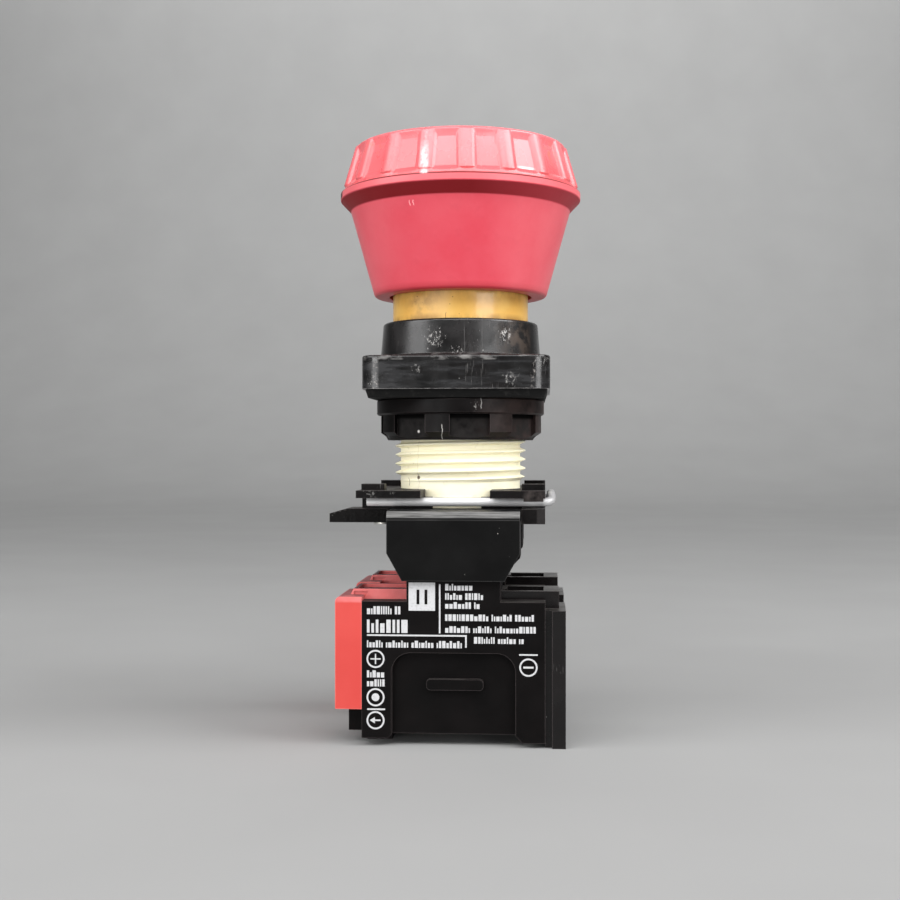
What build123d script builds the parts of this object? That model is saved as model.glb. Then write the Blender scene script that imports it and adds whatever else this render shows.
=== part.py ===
from build123d import *
import math
import os

os.makedirs("parts", exist_ok=True)

# Mushroom-head emergency push button for a 22 mm panel hole, with two contact blocks, in millimetres.
# The origin is on the barrel axis at the panel face, under the gasket. +Z points at the mushroom head,
# -Y at the front contact block and +X at the blocks' black end covers.

# Head
head_r = 20.2
cap_rib_count = 18
cap_panel_w = 3.9
cap_base = 34.5
cap_shoulder = 42.4
cap_crown = 43.4
spigot_r = 18.0
skirt_low = 17.3
web_low, web_high = 29.6, 31.5
hub_r = 7.0

# Operator
stem_r = 4.0
running = 0.05
bezel_side = 30.2
bezel_low, bezel_high = 1.34, 6.75
collar_high = 12.8
sleeve_r, sleeve_in_r, sleeve_high = 11.4, 9.9, 24.5
barrel_top, barrel_low = 5.0, -17.9
barrel_bore = 8.2
barrel_r = 10.9

# M22 x 1.5 thread, turned as parallel grooves
thread_r = 11.0
root_r = 10.08
pitch = 1.5
thread_low = -13.7
thread_turns = 8

# Panel clamp
washer_r, washer_t = 14.1, 2.6
nut_r, nut_ring_r, nut_h = 13.65, 12.4, 4.15
nut_lugs = 8
nut_bore = thread_r + 0.1

# Saddle and adapter
sheet = 1.0
saddle_top = barrel_low
saddle_half_x = 10.4
saddle_half_y = 19.2
flange_knee, flange_low, flange_low_half = -24.5, -28.8, 8.0
adapter_left, adapter_right, adapter_half_y = -15.5, 14.3, 17.0
tab_low, tab_high = -16.0, -14.8
core_half_y = 9.3
wire_d, wire_y, wire_z = 1.4, 10.2, -16.8
groove_r = wire_y - wire_d / 2
loop_x, loop_rise = 15.3, 0.9

# Contact blocks: each is block_depth deep, centred on y = -block_y and +block_y
block_y = 12.0
block_depth = 12.4
label_t = 3.7
block_left, block_right = -14.4, 14.3
shoulder = -32.1
floor_z = -54.8
tower_half = 7.35
tab_top = -30.7
tower_high = -27.0
cavity_half_x, cavity_high, cavity_low = 12.2, -34.0, -40.9
shaft_half_x, shaft_low = 6.4, -51.0
terminal_x = 9.3
entry_r, entry_z = 2.25, -36.6
pusher_top, pusher_low = -22.8, -44.5
bridge_low, bridge_high = -40.8, -40.0


def save(part, name):
    part.label = name
    export_step(part, f"parts/{name}.step")


def coil_spring(coil_r, wire, low, high, turns):
    """A round-wire compression spring on the Z axis that fills the height from low to high."""
    rise = high - low - wire
    with BuildPart() as spring:
        with BuildLine() as path:
            Helix(pitch=rise / turns, height=rise, radius=coil_r, center=(0, 0, low + wire / 2))
        with BuildSketch(Plane(origin=path.line @ 0, z_dir=path.line % 0)):
            Circle(wire / 2)
        sweep(path=path.line, is_frenet=True)
    return spring.part


# ---------------------------------------------------------------- head

# Pockets between the ribs: a turned ring cut down to the width of each panel.
with BuildPart() as rib_pockets:
    with BuildSketch(Plane.XZ):
        with BuildLine():
            Polyline(
                (19.0, 35.9), (20.3, 34.65), (22, 34.65), (22, 44), (18.9, 44), (17.6, 41.5), (19.0, 35.9)
            )
        make_face()
    revolve(axis=Axis.Z)
    with BuildSketch(Plane.XY.offset(30)):
        with PolarLocations(19.5, cap_rib_count, start_angle=5):
            Rectangle(6, cap_panel_w)
    extrude(amount=20, mode=Mode.INTERSECT)

with BuildPart() as mushroom_cap:
    with BuildSketch(Plane.XZ):
        with BuildLine():
            Polyline(
                (0, cap_crown), (0, 41.2), (15.4, 40.3), (16.2, 39.4), (16.2, cap_base - 1.8),
                (spigot_r, cap_base - 1.8), (spigot_r, cap_base), (20.1, cap_base), (18.2, cap_shoulder),
            )
            ThreePointArc((18.2, cap_shoulder), (9.1, 43.15), (0, cap_crown))
        make_face()
    revolve(axis=Axis.Z)
    rim = mushroom_cap.edges().filter_by(lambda e: abs(e.center().Z - cap_shoulder) < 0.01)
    fillet(rim, 1.2)
    add(rib_pockets.part, mode=Mode.SUBTRACT)
save(mushroom_cap.part, "mushroom_cap")

with BuildPart() as mushroom_skirt:
    with BuildSketch(Plane.XZ):
        with BuildLine():
            Polyline(
                (1.6, web_high), (15.2, web_high), (15.2, cap_base - 1.8), (spigot_r, cap_base - 1.8),
                (spigot_r, cap_base), (head_r, cap_base), (head_r, 33.45), (18.47, 31.65), (14.45, skirt_low),
                (12.0, skirt_low), (12.0, 19.6), (13.2, 20.4), (15.8, web_low), (hub_r, web_low),
                (hub_r, 24.6), (stem_r, 24.6), (stem_r, web_low), (1.6, web_low), close=True,
            )
        make_face()
    revolve(axis=Axis.Z)
    lip = mushroom_skirt.edges().filter_by(lambda e: abs(e.center().Z - skirt_low) < 0.01)
    fillet(lip.sort_by(SortBy.RADIUS)[-1], 0.7)
    bead = mushroom_skirt.edges().filter_by(lambda e: abs(e.center().Z - 33.45) < 0.01)
    fillet(bead, 0.3)
save(mushroom_skirt.part, "mushroom_skirt")

with BuildPart() as head_screw:
    with BuildSketch(Plane.XY.offset(23.4)):
        Circle(1.5)
    extrude(amount=web_high - 23.4)
    with BuildSketch(Plane.XY.offset(web_high)):
        Circle(3.0)
    extrude(amount=1.9)
    with BuildSketch(Plane.XY.offset(web_high + 1.0)):
        Rectangle(7, 0.8)
    extrude(amount=1.0, mode=Mode.SUBTRACT)
save(head_screw.part, "head_screw")

# The stem runs from the skirt's hub down through the barrel to the actuator foot.
with BuildPart() as plunger_stem:
    with BuildSketch(Plane.XZ):
        with BuildLine():
            Polyline(
                (0, 23.0), (1.5, 23.0), (1.5, web_low), (stem_r, web_low), (stem_r, -20.0), (2.5, -20.0),
                (2.5, -22.9), (2.1, -22.9), (2.1, -23.5), (2.5, -23.5), (2.5, -24.2), (0, -24.2), close=True,
            )
        make_face()
    revolve(axis=Axis.Z)
save(plunger_stem.part, "plunger_stem")

with BuildPart() as stem_circlip:
    with BuildSketch(Plane.XY.offset(-23.45)):
        Circle(4.2)
        Circle(2.1, mode=Mode.SUBTRACT)
        with Locations((4, 0)):
            Rectangle(6, 2.4, mode=Mode.SUBTRACT)
    extrude(amount=0.5)
save(stem_circlip.part, "stem_circlip")

with BuildPart() as latch_cam:
    with BuildSketch(Plane.XZ):
        with BuildLine():
            Polyline(
                (stem_r, -2.4), (6.9, -2.4), (7.7, -1.6), (7.7, -0.2), (6.4, 1.0), (stem_r, 1.0), close=True
            )
        make_face()
    revolve(axis=Axis.Z)
save(latch_cam.part, "latch_cam")

# ---------------------------------------------------------------- operator body

with BuildPart() as indicator_sleeve:
    with BuildSketch(Plane.XY.offset(barrel_top)):
        Circle(sleeve_r)
        Circle(sleeve_in_r, mode=Mode.SUBTRACT)
    extrude(amount=sleeve_high - barrel_top)
    chamfer(indicator_sleeve.edges().group_by(Axis.Z)[-1], 0.4)
save(indicator_sleeve.part, "indicator_sleeve")

with BuildPart() as shaft_seal:
    with BuildSketch(Plane.XZ):
        with BuildLine():
            Polyline(
                (stem_r + running, barrel_top), (sleeve_in_r, barrel_top), (sleeve_in_r, 6.4), (7.4, 6.4),
                (4.9, 8.6), (stem_r + running, 8.6), close=True,
            )
        make_face()
    revolve(axis=Axis.Z)
save(shaft_seal.part, "shaft_seal")

with BuildPart() as bezel:
    with BuildSketch(Plane.XY.offset(bezel_low)):
        RectangleRounded(bezel_side, bezel_side, 3)
    extrude(amount=bezel_high - bezel_low)
    fillet(bezel.edges().group_by(Axis.Z)[-1], 0.4)
    with BuildSketch(Plane.XZ):
        with BuildLine():
            Polyline(
                (0, 6.0), (14.0, 6.0), (14.0, 6.75), (13.46, 7.2), (13.0, collar_high), (0, collar_high), close=True,
            )
        make_face()
    revolve(axis=Axis.Z)
    collar_edge = bezel.edges().filter_by(lambda e: abs(e.center().Z - collar_high) < 0.01)
    fillet(collar_edge, 0.5)
    with BuildSketch(Plane.XY.offset(bezel_low)):
        Circle(barrel_r)
    extrude(amount=barrel_top - bezel_low, mode=Mode.SUBTRACT)
    with BuildSketch(Plane.XY.offset(barrel_top)):
        Circle(sleeve_r)
    extrude(amount=10, mode=Mode.SUBTRACT)
save(bezel.part, "bezel")

with BuildPart() as panel_gasket:
    with BuildSketch():
        RectangleRounded(28.4, 28.4, 2.4)
    with BuildSketch(Plane.XY.offset(bezel_low)):
        RectangleRounded(29.3, 29.3, 2.8)
    loft()
    with BuildSketch():
        Circle(barrel_r + 0.1)
    extrude(amount=2, mode=Mode.SUBTRACT)
save(panel_gasket.part, "panel_gasket")

flank = (thread_r - root_r) * math.tan(math.radians(30))
crest = 0.18
tooth_start = (pitch - 2 * flank - crest) / 2
thread_points = []
for turn in range(thread_turns):
    z = thread_low + turn * pitch + tooth_start
    thread_points += [
        (root_r, z), (thread_r, z + flank), (thread_r, z + flank + crest), (root_r, z + 2 * flank + crest)
    ]
thread_high = thread_low + thread_turns * pitch

with BuildPart() as threaded_barrel:
    with BuildSketch(Plane.XZ):
        with BuildLine():
            Polyline(
                (4.3, barrel_low), (root_r, barrel_low), (root_r, wire_z - 0.75), (groove_r, wire_z - 0.75),
                (groove_r, wire_z + 0.75), (root_r, wire_z + 0.75), *thread_points, (root_r, thread_high),
                (barrel_r, thread_high + 0.5), (barrel_r, barrel_top), (stem_r + running, barrel_top),
                (stem_r + running, 1.0), (barrel_bore, 1.0), (barrel_bore, -3.6), (8.65, -3.6), (8.65, -4.4),
                (barrel_bore, -4.4), (barrel_bore, -16.4), (4.3, -16.4), close=True,
            )
        make_face()
    revolve(axis=Axis.Z)
    # Keyway for the washer's tooth, along the back
    with BuildSketch(Plane.XY.offset(thread_low)):
        with Locations((0, 11.0)):
            Rectangle(2.6, 2.2)
    extrude(amount=-thread_low, mode=Mode.SUBTRACT)
save(threaded_barrel.part, "threaded_barrel")

# Spring-steel ring that the cam snaps past on its way down
with BuildPart() as latch_ring:
    with BuildLine() as ring_path:
        CenterArc((0, 0, -4.0), 8.27, 20, 320)
    with BuildSketch(Plane(origin=ring_path.line @ 0, z_dir=ring_path.line % 0)):
        Circle(0.35)
    sweep(path=ring_path.line)
save(latch_ring.part, "latch_ring")

save(coil_spring(6.2, 1.0, -16.4, -2.4, 5.5), "return_spring")

with BuildPart() as actuator_foot:
    with BuildSketch(Plane.XY.offset(pusher_top)):
        Circle(4.6)
        RectangleRounded(4.8, 29, 0.8)
    extrude(amount=2.2)
    with BuildSketch(Plane.XY.offset(pusher_top)):
        Circle(4.6)
    extrude(amount=2.75)
    with BuildSketch(Plane.XY.offset(-24)):
        Circle(2.5 + running)
    extrude(amount=5, mode=Mode.SUBTRACT)
save(actuator_foot.part, "actuator_foot")

# ---------------------------------------------------------------- panel clamp

with BuildPart() as clamp_washer:
    with BuildSketch(Plane.XY.offset(-washer_t)):
        Circle(washer_r)
        Circle(thread_r + 0.3, mode=Mode.SUBTRACT)
        with Locations((0, 11.0)):
            Rectangle(2.2, 1.8)
    extrude(amount=washer_t)
    outer = clamp_washer.edges().filter_by(lambda e: e.geom_type == GeomType.CIRCLE and e.radius > 14)
    chamfer(outer, 0.25)
save(clamp_washer.part, "clamp_washer")

nut_top = -washer_t
nut_low = nut_top - nut_h
with BuildPart() as ring_nut:
    with BuildSketch(Plane.XZ):
        with BuildLine():
            Polyline(
                (nut_bore, nut_top), (nut_r, nut_top), (nut_r, -5.5), (nut_ring_r, -6.4),
                (nut_ring_r - 0.15, nut_low), (nut_bore, nut_low), close=True,
            )
        make_face()
    revolve(axis=Axis.Z)
    # Spanner recesses between the lugs, open at the bottom
    with BuildSketch(Plane.XY.offset(nut_low)):
        with PolarLocations(nut_r, nut_lugs, start_angle=-80):
            Rectangle(2 * (nut_r - nut_ring_r), 6.5)
    extrude(amount=nut_h, mode=Mode.SUBTRACT)
save(ring_nut.part, "ring_nut")

# ---------------------------------------------------------------- saddle and adapter

screw_spots = [(side * 8.9, y) for side in (-1, 1) for y in (-7.9, 13.6)]

with BuildPart() as contact_bracket:
    with BuildSketch(Plane.YZ):
        with BuildLine():
            Polyline(
                (-saddle_half_y, flange_low), (-saddle_half_y, saddle_top), (saddle_half_y, saddle_top),
                (saddle_half_y, flange_low), (saddle_half_y - sheet, flange_low),
                (saddle_half_y - sheet, saddle_top - sheet), (sheet - saddle_half_y, saddle_top - sheet),
                (sheet - saddle_half_y, flange_low), close=True,
            )
        make_face()
    extrude(amount=saddle_half_x, both=True)
    along_x = contact_bracket.edges().filter_by(Axis.X)
    fillet(along_x.filter_by(lambda e: abs(e.center().Z - saddle_top) < 0.01), 1.2)
    for side in (-1, 1):
        with BuildSketch(Plane.XZ.offset(-25)):
            with BuildLine():
                Polyline(
                    (side * flange_low_half, flange_low), (side * saddle_half_x, flange_knee),
                    (side * 12, flange_knee), (side * 12, flange_low), close=True,
                )
            make_face()
        extrude(amount=50, mode=Mode.SUBTRACT)
    with BuildSketch(Plane.XY.offset(saddle_top - 2)):
        Circle(6)
        with Locations(*screw_spots):
            Circle(1.05)
    extrude(amount=3, mode=Mode.SUBTRACT)
save(contact_bracket.part, "contact_bracket")

adapter_mid = (adapter_left + adapter_right) / 2
adapter_w = adapter_right - adapter_left
post_x, post_w = 12.45, 3.7
lever_x, lever_y = -13.2, 0.5
with BuildPart() as adapter_body:
    # Upper plate with its tabs, then the core between the two legs of the wire clip
    with BuildSketch(Plane.XY.offset(tab_low)):
        with Locations((adapter_mid, 0)):
            Rectangle(adapter_w, 2 * adapter_half_y)
    extrude(amount=tab_high - tab_low)
    with BuildSketch(Plane.XY.offset(saddle_top)):
        with Locations((adapter_mid, 0)):
            Rectangle(adapter_w, 2 * core_half_y)
    extrude(amount=tab_low - saddle_top)
    # Bosses for the two rear screws, behind the rear leg
    with BuildSketch(Plane.XY.offset(saddle_top)):
        with Locations((-8.9, 13.6), (8.9, 13.6)):
            Circle(2.2)
    extrude(amount=tab_low - saddle_top)
    # Side bars that flank the saddle, full length on the right and behind the lever on the left
    with BuildSketch(Plane.XY.offset(-20.0)):
        with Locations((post_x, 0)):
            Rectangle(post_w, 2 * adapter_half_y)
        with Locations((-post_x, 10.8)):
            Rectangle(post_w, 12.4)
    extrude(amount=2.35)
    # Corner posts, taller than the tabs, and on the right a lip over the wire
    with BuildSketch(Plane.XY.offset(tab_low)):
        for side in (-1, 1):
            with Locations((post_x, side * 13.1), (adapter_left + 2.4, side * 13.1)):
                RectangleRounded(post_w, 3.4, 0.4)
    extrude(amount=2.2)
    with BuildSketch(Plane.XY.offset(-16.5)):
        for side in (-1, 1):
            with Locations((post_x, side * 15.6)):
                Rectangle(post_w - 0.6, 2.8)
    extrude(amount=0.5)
    # Bore for the barrel, and the gap between the two front tabs
    with BuildSketch(Plane.XY.offset(-21)):
        Circle(root_r + 0.02)
    extrude(amount=8, mode=Mode.SUBTRACT)
    with BuildSketch(Plane.XY.offset(tab_low)):
        with Locations((0.2, -14)):
            Rectangle(10.9, 12)
    extrude(amount=3, mode=Mode.SUBTRACT)
    with BuildSketch(Plane.XY.offset(saddle_top - 1)):
        with Locations(*screw_spots):
            Circle(1.05)
    extrude(amount=5, mode=Mode.SUBTRACT)
    with BuildSketch(Plane.XY.offset(tab_high - 1.1)):
        with Locations(*screw_spots):
            Circle(1.65)
    extrude(amount=2, mode=Mode.SUBTRACT)
    with BuildSketch(Plane.XY.offset(saddle_top)):
        with Locations((lever_x, lever_y)):
            Circle(1.0)
    extrude(amount=2.4, mode=Mode.SUBTRACT)
save(adapter_body.part, "adapter_body")

with BuildPart() as carrier_screws:
    with BuildSketch(Plane.XY.offset(-23)):
        with Locations(*screw_spots):
            Circle(1.0)
    extrude(amount=23 + tab_high - 1.1)
    with BuildSketch(Plane.XY.offset(tab_high - 1.1)):
        with Locations(*screw_spots):
            Circle(1.6)
    extrude(amount=1.0)
    with BuildSketch(Plane.XY.offset(tab_high - 0.6)):
        with Locations(*screw_spots):
            Rectangle(2.4, 0.5)
            Rectangle(0.5, 2.4)
    extrude(amount=1.0, mode=Mode.SUBTRACT)
save(carrier_screws.part, "carrier_screws")

# Wire clip: two legs in the barrel's groove, joined by a raised finger loop on the right
with BuildPart() as locking_clip:
    with BuildLine() as clip_path:
        FilletPolyline(
            (-14.6, -wire_y, wire_z), (loop_x, -wire_y, wire_z), (loop_x, -7.4, wire_z + loop_rise),
            (loop_x, 7.4, wire_z + loop_rise), (loop_x, wire_y, wire_z), (-14.6, wire_y, wire_z), radius=1.2,
        )
    with BuildSketch(Plane(origin=clip_path.line @ 0, z_dir=clip_path.line % 0)):
        Circle(wire_d / 2)
    sweep(path=clip_path.line)
save(locking_clip.part, "locking_clip")

lever_low = -20.2
lever_high = saddle_top - running
with BuildPart() as release_lever:
    with BuildSketch(Plane.XZ.offset(2.5)):
        with BuildLine():
            Polyline(
                (-20.85, lever_low), (-20.85, -18.75), (-18.0, -17.95), (-11.0, -17.95), (-11.0, lever_low),
                close=True,
            )
        make_face()
    extrude(amount=7)
    with BuildSketch(Plane.XY.offset(lever_low)):
        with Locations((lever_x, lever_y)):
            Circle(2.6)
        with Locations((lever_x, -1.5)):
            Rectangle(4.4, 4)
    extrude(amount=lever_high - lever_low)
    with BuildSketch(Plane.XY.offset(lever_low)):
        with Locations((lever_x, lever_y)):
            Circle(1.0 + running)
    extrude(amount=4, mode=Mode.SUBTRACT)
    # Grip grooves across the sloping tip
    with BuildSketch(Plane.XZ.offset(2)):
        with Locations((-20.1, -18.45), (-19.2, -18.2), (-18.3, -17.95)):
            Rectangle(0.35, 0.5)
    extrude(amount=8, mode=Mode.SUBTRACT)
save(release_lever.part, "release_lever")

with BuildPart() as lever_pin:
    with BuildSketch(Plane.XY.offset(lever_low - 0.7)):
        with Locations((lever_x, lever_y)):
            Circle(1.6)
    extrude(amount=0.65)
    with BuildSketch(Plane.XY.offset(lever_low - 0.7)):
        with Locations((lever_x, lever_y)):
            Circle(1.0)
    extrude(amount=saddle_top + 2.4 - lever_low + 0.7)
save(lever_pin.part, "lever_pin")

# ---------------------------------------------------------------- contact blocks


def contact_block(name, mid_y):
    """One contact block, centred on y = mid_y, written as ten nodes whose names start with name."""
    front = mid_y - block_depth / 2
    back = mid_y + block_depth / 2
    joint_y = front + label_t
    shell_depth = back - joint_y

    # Front shell: the marked plate with its tower, a sunken panel and a finger bar
    with BuildPart() as label_cover:
        with BuildSketch(Plane.XZ.offset(-front)):
            with BuildLine():
                Polyline(
                    (block_left, -53.5), (block_left, shoulder), (-tower_half, shoulder),
                    (-tower_half, tower_high), (tower_half, tower_high), (tower_half, shoulder),
                    (block_right, shoulder), (block_right, -54.0), (10.8, -54.0), (9.7, -52.9),
                    (-9.7, -52.9), (-10.3, -53.5), close=True,
                )
            make_face()
        extrude(amount=-label_t)
        with BuildSketch(Plane.XZ.offset(-front)):
            with Locations((0, -49.3)):
                RectangleRounded(19.4, 18.4, 3)
            with Locations((0, -53)):
                Rectangle(19.4, 8)
        extrude(amount=-1.2, mode=Mode.SUBTRACT)
        with BuildSketch(Plane.XZ.offset(-front - 1.2)):
            with Locations((0.2, -45.1)):
                RectangleRounded(8.9, 1.7, 0.6)
        extrude(amount=0.9)
    save(label_cover.part, f"{name}_label_cover")

    # Back shell: body, the fork that meets the saddle, feet, and the cavities that hold the contacts
    with BuildPart() as housing:
        with BuildSketch(Plane.XZ.offset(-joint_y)):
            with BuildLine():
                Polyline(
                    (block_left, -53.0), (block_left, shoulder), (-7.3, shoulder), (-7.3, -28.7),
                    (-10.35, -25.5), (-10.35, saddle_top - sheet), (-6.6, saddle_top - sheet), (-6.6, -27.2),
                    (6.6, -27.2), (6.6, saddle_top - sheet), (10.35, saddle_top - sheet), (10.35, -25.5),
                    (7.3, -28.7), (7.3, shoulder), (block_right, shoulder), (block_right, -53.0), close=True,
                )
            make_face()
        extrude(amount=-shell_depth)
        with BuildSketch(Plane.XY.offset(floor_z)):
            for side in (-1, 1):
                with Locations((side * 12.2, back - 3.4)):
                    Rectangle(4, 6.8)
        extrude(amount=2)
        # Wire guard under the red cover
        with BuildSketch(Plane.XY.offset(-52.8)):
            with Locations((-15.6, mid_y)):
                Rectangle(2.4, 7.2)
        extrude(amount=3.8)
        with BuildSketch(Plane.XZ.offset(-joint_y)):
            with Locations((0, (cavity_low + cavity_high) / 2)):
                Rectangle(2 * cavity_half_x, cavity_high - cavity_low)
            with Locations((0, (shaft_low + cavity_high) / 2)):
                Rectangle(2 * shaft_half_x, cavity_high - shaft_low)
            with Locations((0, -29)):
                Rectangle(4.3, 12)
        extrude(amount=-5.3, mode=Mode.SUBTRACT)
        with BuildSketch(Plane.XY.offset(cavity_high - 1)):
            with Locations((-terminal_x, mid_y), (terminal_x, mid_y)):
                Circle(2.1)
        extrude(amount=4, mode=Mode.SUBTRACT)
        with BuildSketch(Plane.YZ.offset(block_left)):
            with Locations((mid_y, entry_z)):
                Circle(entry_r)
        extrude(amount=block_right - block_left, mode=Mode.SUBTRACT)
        with BuildSketch(Plane.XY.offset(-24)):
            spots = [(x, y) for x, y in screw_spots if front < y < back]
            with Locations(*spots):
                Circle(1.0)
        extrude(amount=8, mode=Mode.SUBTRACT)
    save(housing.part, f"{name}_housing")

    # Red cover: a side wall over the left terminal and a step with the screwdriver hole
    with BuildPart() as terminal_cover:
        with BuildSketch(Plane.XZ.offset(-front)):
            with Locations(((-18.6 + block_left) / 2, -40.2)):
                Rectangle(block_left + 18.6, 17.6)
        extrude(amount=-block_depth)
        fillet(terminal_cover.edges().filter_by(Axis.Y).sort_by(Axis.X)[:2].sort_by(Axis.Z)[-1], 0.8)
        with BuildSketch(Plane.XZ.offset(-joint_y)):
            with BuildLine():
                Polyline(
                    (-17.0, shoulder), (-16.2, -30.5), (-7.35, -30.5), (-7.35, shoulder), close=True
                )
            make_face()
        extrude(amount=-shell_depth)
        with BuildSketch(Plane.XY.offset(-31.1)):
            with Locations((-11.65, mid_y + 1.95)):
                RectangleRounded(8.0, 7.5, 0.6)
        extrude(amount=1, mode=Mode.SUBTRACT)
        # Shallow marks: a pocket in the step's front and a slit in the strip's top
        with BuildSketch(Plane.XZ.offset(-joint_y)):
            with BuildLine():
                Polyline(
                    (-16.3, -31.9), (-16.1, -30.85), (-13.7, -30.85), (-14.3, -31.9), close=True
                )
            make_face()
        extrude(amount=-0.3, mode=Mode.SUBTRACT)
        with BuildSketch(Plane.XY.offset(-31.9)):
            with Locations((-16.4, front + 1.2)):
                SlotOverall(1.7, 0.5)
        extrude(amount=1, mode=Mode.SUBTRACT)
        with BuildSketch(Plane.XY.offset(-32.5)):
            with Locations((-terminal_x, mid_y)):
                Circle(1.9)
        extrude(amount=3, mode=Mode.SUBTRACT)
        with BuildSketch(Plane.YZ.offset(-19)):
            with Locations((mid_y, entry_z)):
                Circle(entry_r)
        extrude(amount=6, mode=Mode.SUBTRACT)
    save(terminal_cover.part, f"{name}_terminal_cover")

    # Black end cover: a grooved strip down the right side and a channel over the right terminal
    with BuildPart() as end_cover:
        with BuildSketch(Plane.XY.offset(floor_z)):
            with Locations(((block_right + 17.5) / 2, mid_y)):
                Rectangle(17.5 - block_right, block_depth)
        extrude(amount=-33.4 - floor_z)
        with BuildSketch(Plane.XZ.offset(-front)):
            with Locations((14.75, -44)):
                Rectangle(1.3, 24)
        extrude(amount=-0.9, mode=Mode.SUBTRACT)
        with BuildSketch(Plane.XZ.offset(-joint_y)):
            with BuildLine():
                Polyline(
                    (7.35, shoulder), (7.35, tab_top), (16.5, tab_top), (16.5, -33.5), (block_right, -33.5),
                    (block_right, shoulder), close=True,
                )
            make_face()
        extrude(amount=-shell_depth)
        with BuildSketch(Plane.XY.offset(tab_top - 0.7)):
            with Locations((11.1, mid_y + 1.8)):
                Rectangle(5.9, 6.6)
        extrude(amount=2, mode=Mode.SUBTRACT)
        with BuildSketch(Plane.XY.offset(-32.5)):
            with Locations((terminal_x, mid_y)):
                Circle(1.9)
        extrude(amount=3, mode=Mode.SUBTRACT)
        with BuildSketch(Plane.YZ.offset(12)):
            with Locations((mid_y, entry_z)):
                Circle(entry_r)
        extrude(amount=8, mode=Mode.SUBTRACT)
    save(end_cover.part, f"{name}_end_cover")

    with BuildPart() as pusher:
        with BuildSketch(Plane.XY.offset(pusher_low)):
            with Locations((0, mid_y)):
                Rectangle(4.0, 3.8)
        extrude(amount=pusher_top - pusher_low)
        fillet(pusher.edges().group_by(Axis.Z)[-1], 0.4)
        with BuildSketch(Plane.XY.offset(bridge_low)):
            with Locations((0, mid_y)):
                Rectangle(5, 2.4)
        extrude(amount=bridge_high - bridge_low, mode=Mode.SUBTRACT)
    save(pusher.part, f"{name}_pusher")

    with BuildPart() as contact_bridge:
        with BuildSketch(Plane.XY.offset(bridge_low)):
            with Locations((0, mid_y)):
                SlotOverall(11.6, 2.4)
        extrude(amount=bridge_high - bridge_low)
        with BuildSketch(Plane.XY.offset(bridge_high)):
            with Locations((-4.6, mid_y), (4.6, mid_y)):
                Circle(1.0)
        extrude(amount=0.7)
    save(contact_bridge.part, f"{name}_contact_bridge")

    spring = coil_spring(1.9, 0.5, shaft_low, pusher_low, 5).moved(Location((0, mid_y, 0)))
    save(spring, f"{name}_contact_spring")

    strip_low, strip_high = bridge_high + 1.4, bridge_high + 2.2
    with BuildPart() as fixed_contacts:
        for side in (-1, 1):
            with BuildSketch(Plane.XY.offset(strip_low)):
                with Locations((side * 7.8, mid_y)):
                    Rectangle(8.4, 4.4)
            extrude(amount=strip_high - strip_low)
            with BuildSketch(Plane.XY.offset(bridge_high + 0.7)):
                with Locations((side * 4.6, mid_y)):
                    Circle(1.0)
            extrude(amount=0.7)
            with BuildSketch(Plane.XY.offset(strip_low)):
                with Locations((side * terminal_x, mid_y)):
                    Circle(1.2)
            extrude(amount=2, mode=Mode.SUBTRACT)
    save(fixed_contacts.part, f"{name}_fixed_contacts")

    clamp_high = cavity_high - 0.9
    with BuildPart() as clamp_plates:
        with BuildSketch(Plane.XY.offset(clamp_high - 0.8)):
            for side in (-1, 1):
                with Locations((side * terminal_x, mid_y)):
                    Rectangle(4.4, 4.4)
                    Circle(1.2, mode=Mode.SUBTRACT)
        extrude(amount=0.8)
    save(clamp_plates.part, f"{name}_clamp_plates")

    with BuildPart() as terminal_screws:
        with BuildSketch(Plane.XY.offset(strip_low - 1.2)):
            with Locations((-terminal_x, mid_y), (terminal_x, mid_y)):
                Circle(1.2)
        extrude(amount=clamp_high - strip_low + 1.2)
        with BuildSketch(Plane.XY.offset(clamp_high)):
            with Locations((-terminal_x, mid_y), (terminal_x, mid_y)):
                Circle(1.9)
        extrude(amount=1.5)
        with BuildSketch(Plane.XY.offset(clamp_high + 0.8)):
            with Locations((-terminal_x, mid_y), (terminal_x, mid_y)):
                Rectangle(3.0, 0.6)
                Rectangle(0.6, 3.0)
        extrude(amount=1.0, mode=Mode.SUBTRACT)
    save(terminal_screws.part, f"{name}_terminal_screws")


contact_block("front", -block_y)
contact_block("rear", block_y)
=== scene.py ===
import math
import random

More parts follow.
